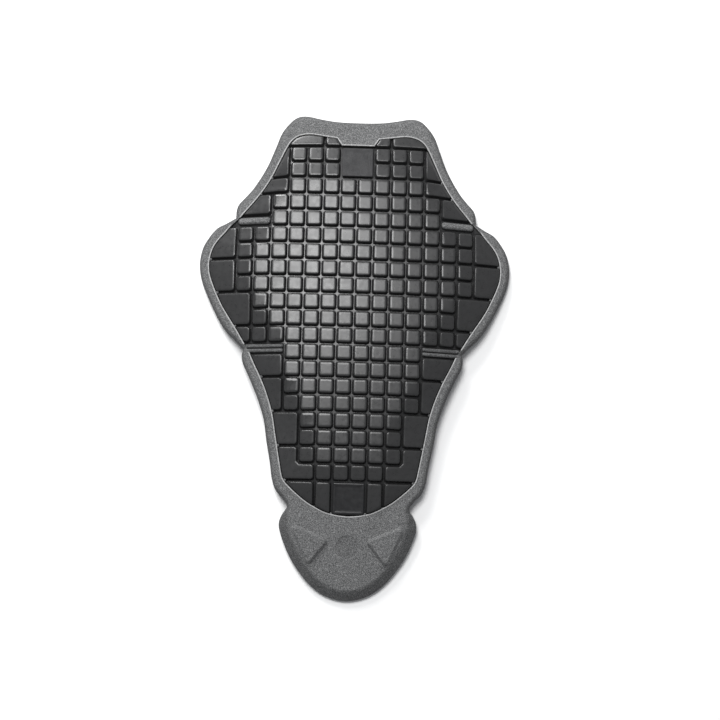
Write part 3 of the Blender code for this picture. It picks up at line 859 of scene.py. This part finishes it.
tile = {
    "cornerRadius": 0.0023,
    "leastRadius": 0.0006,
    "cornerSteps": 2,
    "shortest": 0.0009,
    "floorDepth": 0.0050,       # of the grooves, below the tile's top
    "footGap": 0.00035,         # groove floor left between two feet
    "lean": 0.55,               # share of the surface's tilt that the tiles follow
    "levelBorder": 0.03,        # the lean fades out this far from the pad's edge
    "sunk": 0.0002,             # of a tile's foot in the web
    "gridStep": 0.0052,
    "ledge": 0.0005,
    "stepCut": 0.0030,
    "turn": 0.010,              # largest random turn, in radians
    "seed": 4,
}

# tile edge, from the wall to the flat top: inset and drop below the top
tileEdge = [
    (0.0, 0.00115), (0.00012, 0.00066), (0.00036, 0.00032), (0.00075, 0.00016),
    (0.0013, 0.00006), (0.0020, 0.0), (0.0024, 0.0),
]


def tileBase():
    return form["foamFloor"] + form["gap"] + form["webThick"]


# levels of a soft-edged block, from its wider foot to its rounded top
def blockRings(ring, foot, top):
    turns = cornersOf(ring)
    draft = (form["groove"] - tile["footGap"]) / 2
    levels = []
    for inset, height in [(-draft, foot)] + [(inset, top - drop) for inset, drop in tileEdge]:
        radius = max(tile["cornerRadius"] - max(inset, 0), tile["leastRadius"])
        moved = softenCorners(offsetRing(ring, inset), radius, tile["cornerSteps"], turns)
        levels.append(atHeight(moved, height))
    return levels


def webTop():
    return tileBase() + form["tileHeight"] - tile["floorDepth"]


def squareTile():
    reachX = (columnPitch - form["groove"]) / 2
    reachY = (rowPitch - form["groove"]) / 2
    corners = ((-reachX, reachY), (reachX, reachY), (reachX, -reachY), (-reachX, -reachY))
    ring = [Vector(corner) for corner in corners]
    bm = bmesh.new()
    stack(bm, blockRings(ring, webTop() - tileBase() - tile["sunk"], form["tileHeight"]))
    return finish("squareTile", bm, tileRubber)


def squareFieldTree(block):
    tree = bpy.data.node_groups.new("squareTileField", "GeometryNodeTree")
    tree.interface.new_socket("Geometry", in_out="INPUT", socket_type="NodeSocketGeometry")
    tree.interface.new_socket("Tile", in_out="INPUT", socket_type="NodeSocketObject")
    tree.interface.new_socket("Turn", in_out="INPUT", socket_type="NodeSocketFloat")
    tree.interface.new_socket("Seed", in_out="INPUT", socket_type="NodeSocketInt")
    tree.interface.new_socket("Geometry", in_out="OUTPUT", socket_type="NodeSocketGeometry")
    given = tree.nodes.new("NodeGroupInput")
    result = tree.nodes.new("NodeGroupOutput")
    source = node(tree, "GeometryNodeObjectInfo", {"Object": given.outputs["Tile"]})
    least = calculate(tree, "MULTIPLY", given.outputs["Turn"], -1.0)
    chance = node(tree, "FunctionNodeRandomValue", {
        2: least, 3: given.outputs["Turn"], "Seed": given.outputs["Seed"]}, data_type="FLOAT")
    turn = node(tree, "ShaderNodeCombineXYZ", {"Z": chance.outputs[1]})
    spread = node(tree, "GeometryNodeInstanceOnPoints", {
        "Points": given.outputs["Geometry"], "Instance": source.outputs["Geometry"],
        "Rotation": turn.outputs[0]})
    real = node(tree, "GeometryNodeRealizeInstances", {"Geometry": spread.outputs[0]})
    painted = node(tree, "GeometryNodeSetMaterial", {
        "Geometry": real.outputs[0], "Material": tileRubber})
    tree.links.new(painted.outputs[0], result.inputs[0])
    return tree


def setInput(modifier, label, value):
    for item in modifier.node_group.interface.items_tree:
        if item.name == label and item.in_out == "INPUT":
            modifier[item.identifier] = value


def squareField():
    block = squareTile()
    spots = []
    for row, (first, last) in squareRows.items():
        y = (rowLine(row) + rowLine(row + 1)) / 2
        for column in range(first, last + 1):
            x = columnLine(column - 0.5)
            spots += [(x, y, tileBase()), (-x, y, tileBase())]
    mesh = bpy.data.meshes.new("tileSpots")
    mesh.from_pydata(spots, [], [])
    field = bpy.data.objects.new("squareField", mesh)
    bpy.context.scene.collection.objects.link(field)
    spread = field.modifiers.new("field", "NODES")
    spread.node_group = squareFieldTree(block)
    setInput(spread, "Tile", block)
    setInput(spread, "Turn", tile["turn"])
    setInput(spread, "Seed", tile["seed"])
    real = evaluated(field)
    field.modifiers.clear()
    field.data = real
    bpy.data.objects.remove(block)
    print("square tiles:", len(spots))
    return field


def edgeRing(spec, ledge):
    top, bottom, inner, outer = spec
    half = form["groove"] / 2
    ring = clipRing(ledge, 1, rowLine(top) - half, False)
    if bottom < form["rows"]:
        ring = clipRing(ring, 1, rowLine(bottom) + half, True)
    ring = clipRing(ring, 0, columnLine(inner) + half, True)
    ring = clipRing(ring, 0, columnLine(outer) - half, False)
    if spec is steppedTile:
        corner = Vector((columnLine(inner) + half, rowLine(top) - half))
        k = min(range(len(ring)), key=lambda i: (ring[i] - corner).length)
        step, shelf = columnLine(3) + half, rowLine(20) - half
        cut = tile["stepCut"]
        ring[k:k + 1] = [Vector((corner.x, shelf)), Vector((step - cut, shelf)),
                         Vector((step, shelf + cut)), Vector((step, corner.y))]
    return ring


def edgeField():
    bm = bmesh.new()
    ledge = offsetRing(padRing(foam["spacing"]), tile["ledge"])
    foot, top = webTop() - tile["sunk"], tileBase() + form["tileHeight"]
    for spec in edgeTiles:
        ring = withoutShort(edgeRing(spec, ledge), tile["shortest"])
        for outline in (ring, mirrored(ring)):
            stack(bm, blockRings(outline, foot, top))
    step = tile["gridStep"]
    gridCuts(bm, span(-halfWidth, halfWidth, step), span(-halfLength, halfLength, step))
    return finish("edgeField", bm, tileRubber)


def webSheet():
    ring = padRing(foam["spacing"])
    base = form["foamFloor"] + form["gap"]
    bm = bmesh.new()
    stack(bm, [atHeight(ring, base), atHeight(ring, webTop())])
    across = span(-halfWidth, halfWidth, columnPitch / 3)
    gridCuts(bm, across, span(-halfLength, halfLength, rowPitch / 3))
    return finish("webSheet", bm, webRubber)


def padHeight(spot):
    above = spot.z - tileBase()
    raised = lift(spot.x, spot.y) if above > -form["webThick"] * 0.75 else 0
    high = spot.z + raised + arch(spot.x, spot.y) - ground
    if above <= 0:
        return Vector((spot.x, spot.y, high))
    across, along = tilt(spot.x, spot.y)
    room = min(1.0, max(0.0, (sectionAt(spot.y, 1) - abs(spot.x)) / tile["levelBorder"]))
    lean = tile["lean"] * above * room
    return Vector((spot.x - across * lean, spot.y - along * lean, high))


def drapeOver(piece, heightAt):
    bm = bmesh.new()
    bm.from_mesh(piece.data)
    drape(bm, heightAt)
    bm.to_mesh(piece.data)
    bm.free()


def makeTilePad():
    field = squareField()
    edges = edgeField()
    web = webSheet()
    for piece in (field, edges, web):
        drapeOver(piece, padHeight)
    joinInto(web, [field, edges])
    web.name = "tilePad"
    smooth(web, 38)
    return web


# patches

patch = {
    "setDown": 0.0004,
    "edgeRound": 0.0009,
    "hookSpacing": 0.00075,
    "hookHeight": 0.00045,
    "hookRadius": 0.00022,
    "frameWidth": 0.0022,
    "frameStep": 0.0004,
    "frameSlope": 0.0006,
    "cornerRadius": 0.0010,
    "steps": 3,
    "gridStep": 0.003,
}


def patchRing(top, bottom):
    half = form["groove"] / 2
    x = columnLine(1) - half
    high, low = rowLine(top) - half, rowLine(bottom) + half
    ring = [Vector((-x, high)), Vector((x, high)), Vector((x, low)), Vector((-x, low))]
    return softenCorners(ring, patch["cornerRadius"], patch["steps"])


def patchBlock(name, rows, material, inset):
    ring = patchRing(*rows)
    foot = tileBase() + form["gap"]
    crown = tileBase() + form["tileHeight"] - patch["setDown"]
    levels = [atHeight(ring, foot), atHeight(ring, crown - patch["edgeRound"])]
    for step in range(1, patch["steps"] + 1):
        angle = math.pi / 2 * step / patch["steps"]
        levels.append(atHeight(offsetRing(ring, patch["edgeRound"] * (1 - math.cos(angle))),
                               crown - patch["edgeRound"] * (1 - math.sin(angle))))
    if inset:
        levels.append(atHeight(offsetRing(ring, patch["frameWidth"]), crown))
        levels.append(atHeight(offsetRing(ring, patch["frameWidth"] + patch["frameSlope"]),
                               crown - patch["frameStep"]))
    bm = bmesh.new()
    stack(bm, levels)
    low, high = rowLine(rows[1]), rowLine(rows[0])
    step = patch["gridStep"]
    gridCuts(bm, span(-columnPitch, columnPitch, step), span(low, high, step))
    piece = finish(name, bm, material)
    drapeOver(piece, padHeight)
    smooth(piece, 45)
    return piece


# short stiff hooks, spread by a node tree and then made real
def hookStubble(rows):
    ring = offsetRing(patchRing(*rows), patch["edgeRound"] * 1.2)
    crown = tileBase() + form["tileHeight"] - patch["setDown"]
    bm = bmesh.new()
    bm.faces.new([bm.verts.new(p) for p in atHeight(ring, crown)])
    bm.faces.ensure_lookup_table()
    if bm.faces[0].normal.z < 0:
        bmesh.ops.reverse_faces(bm, faces=bm.faces)
    mesh = bpy.data.meshes.new("hookBed")
    bm.to_mesh(mesh)
    bm.free()
    bed = bpy.data.objects.new("hookStubble", mesh)
    bpy.context.scene.collection.objects.link(bed)
    tree = bpy.data.node_groups.new("hookStubble", "GeometryNodeTree")
    tree.interface.new_socket("Geometry", in_out="INPUT", socket_type="NodeSocketGeometry")
    for label in ("Spacing", "Hook height", "Hook radius"):
        tree.interface.new_socket(label, in_out="INPUT", socket_type="NodeSocketFloat")
    tree.interface.new_socket("Geometry", in_out="OUTPUT", socket_type="NodeSocketGeometry")
    given = tree.nodes.new("NodeGroupInput")
    result = tree.nodes.new("NodeGroupOutput")
    points = node(tree, "GeometryNodeDistributePointsOnFaces", {
        "Mesh": given.outputs["Geometry"], "Distance Min": given.outputs["Spacing"],
        "Density Max": 3.0e6, "Seed": 7}, distribute_method="POISSON")
    hook = node(tree, "GeometryNodeMeshCone", {
        "Vertices": 5, "Radius Top": calculate(tree, "MULTIPLY", given.outputs["Hook radius"], 0.55),
        "Radius Bottom": given.outputs["Hook radius"], "Depth": given.outputs["Hook height"]})
    lean = node(tree, "FunctionNodeRandomValue", {0: (-0.5, -0.5, 0.0), 1: (0.5, 0.5, 6.28),
                                                  "Seed": 3}, data_type="FLOAT_VECTOR")
    spread = node(tree, "GeometryNodeInstanceOnPoints", {
        "Points": points.outputs["Points"], "Instance": hook.outputs["Mesh"],
        "Rotation": lean.outputs[0]})
    real = node(tree, "GeometryNodeRealizeInstances", {"Geometry": spread.outputs[0]})
    painted = node(tree, "GeometryNodeSetMaterial", {
        "Geometry": real.outputs[0], "Material": hookFabric})
    tree.links.new(painted.outputs[0], result.inputs[0])
    stubble = bed.modifiers.new("stubble", "NODES")
    stubble.node_group = tree
    setInput(stubble, "Spacing", patch["hookSpacing"])
    setInput(stubble, "Hook height", patch["hookHeight"])
    setInput(stubble, "Hook radius", patch["hookRadius"])
    real = evaluated(bed)
    bed.modifiers.clear()
    bed.data = real
    drapeOver(bed, padHeight)
    print("hooks:", len(real.polygons))
    return bed


neckRows, lumbarRows = (1, 3), (21, 23)

foamCarrier = makeFoamCarrier()
print("foam carrier ready", len(foamCarrier.data.polygons))
tilePad = makeTilePad()
print("tile pad ready", len(tilePad.data.polygons))
neckPatch = patchBlock("neckPatch", neckRows, hookFabric, False)
joinInto(neckPatch, [hookStubble(neckRows)])
lumbarPatch = patchBlock("lumbarPatch", lumbarRows, patchRubber, True)
print("patches ready")

for piece, cadNode, slotName in (
        (foamCarrier, "foam_carrier", "grey_foam"),
        (tilePad, "tile_pad", "black_rubber"),
        (neckPatch, "neck_patch", "black_textile"),
        (lumbarPatch, "lumbar_patch", "black_rubber")):
    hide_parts(cadNode)
    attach(piece, "root")


# floor, light and camera

def paleFloor():
    bm = bmesh.new()
    bmesh.ops.create_grid(bm, x_segments=1, y_segments=1, size=6.0)
    floor = finish("floor", bm, None)
    material, tree, shader = newMaterial("pale floor")
    shader.inputs["Base Color"].default_value = (0.93, 0.93, 0.93, 1)
    shader.inputs["Roughness"].default_value = 0.9
    floor.data.materials.append(material)


def softLight(name, place, target, size, power):
    data = bpy.data.lights.new(name, "AREA")
    data.shape = "RECTANGLE"
    data.size, data.size_y = size
    data.energy = power
    light = bpy.data.objects.new(name, data)
    light.location = place
    light.rotation_euler = (Vector(target) - Vector(place)).to_track_quat("-Z", "Y").to_euler()
    bpy.context.scene.collection.objects.link(light)


view = {
    "distance": 1.608,
    "across": math.radians(-0.42),
    "tilt": math.radians(9.11),
    "roll": math.radians(1.61),
    "focal": 1740.0,               # pixels of a 720 pixel frame
    "aim": (353.8, 309.9),
    "frame": 720.0,
    "pivot": (0.0, 0.0387),
}


def studioCamera():
    pivot = Vector((*view["pivot"], cadHigh[2]))
    back = Vector((math.sin(view["across"]) * math.cos(view["tilt"]), -math.sin(view["tilt"]),
                   math.cos(view["across"]) * math.cos(view["tilt"])))
    data = bpy.data.cameras.new("camera")
    data.sensor_width = 36.0
    data.lens = 36.0 * view["focal"] / view["frame"]
    data.clip_end = 30.0
    camera = bpy.data.objects.new("camera", data)
    bpy.context.scene.collection.objects.link(camera)
    right = Vector((0, 1, 0)).cross(back).normalized()
    basis = Matrix((right, back.cross(right), back)).transposed().to_4x4()
    middle = view["frame"] / 2
    pan = math.atan((view["aim"][0] - middle) / view["focal"])
    nod = math.atan((view["aim"][1] - middle) / view["focal"])
    turn = Euler((nod, pan, 0)).to_matrix().to_4x4()
    rollTurn = Matrix.Rotation(view["roll"], 4, "Z")
    camera.matrix_world = Matrix.Translation(pivot + back * view["distance"]) @ basis @ rollTurn @ turn
    bpy.context.scene.camera = camera


def whiteWorld():
    world = bpy.data.worlds.new("studio")
    world.use_nodes = True
    background = world.node_tree.nodes["Background"]
    background.inputs["Color"].default_value = (0.95, 0.97, 1.0, 1)
    background.inputs["Strength"].default_value = 0.28
    bpy.context.scene.world = world


paleFloor()
whiteWorld()
softLight("skyPanel", (-0.30, 0.66, 1.9), (-0.02, 0.02, 0), (0.80, 0.88), 34)
softLight("lowKey", (-0.9, 2.2, 1.3), (0, 0, 0), (0.9, 0.9), 62)
studioCamera()
bpy.context.scene.view_settings.view_transform = "Standard"
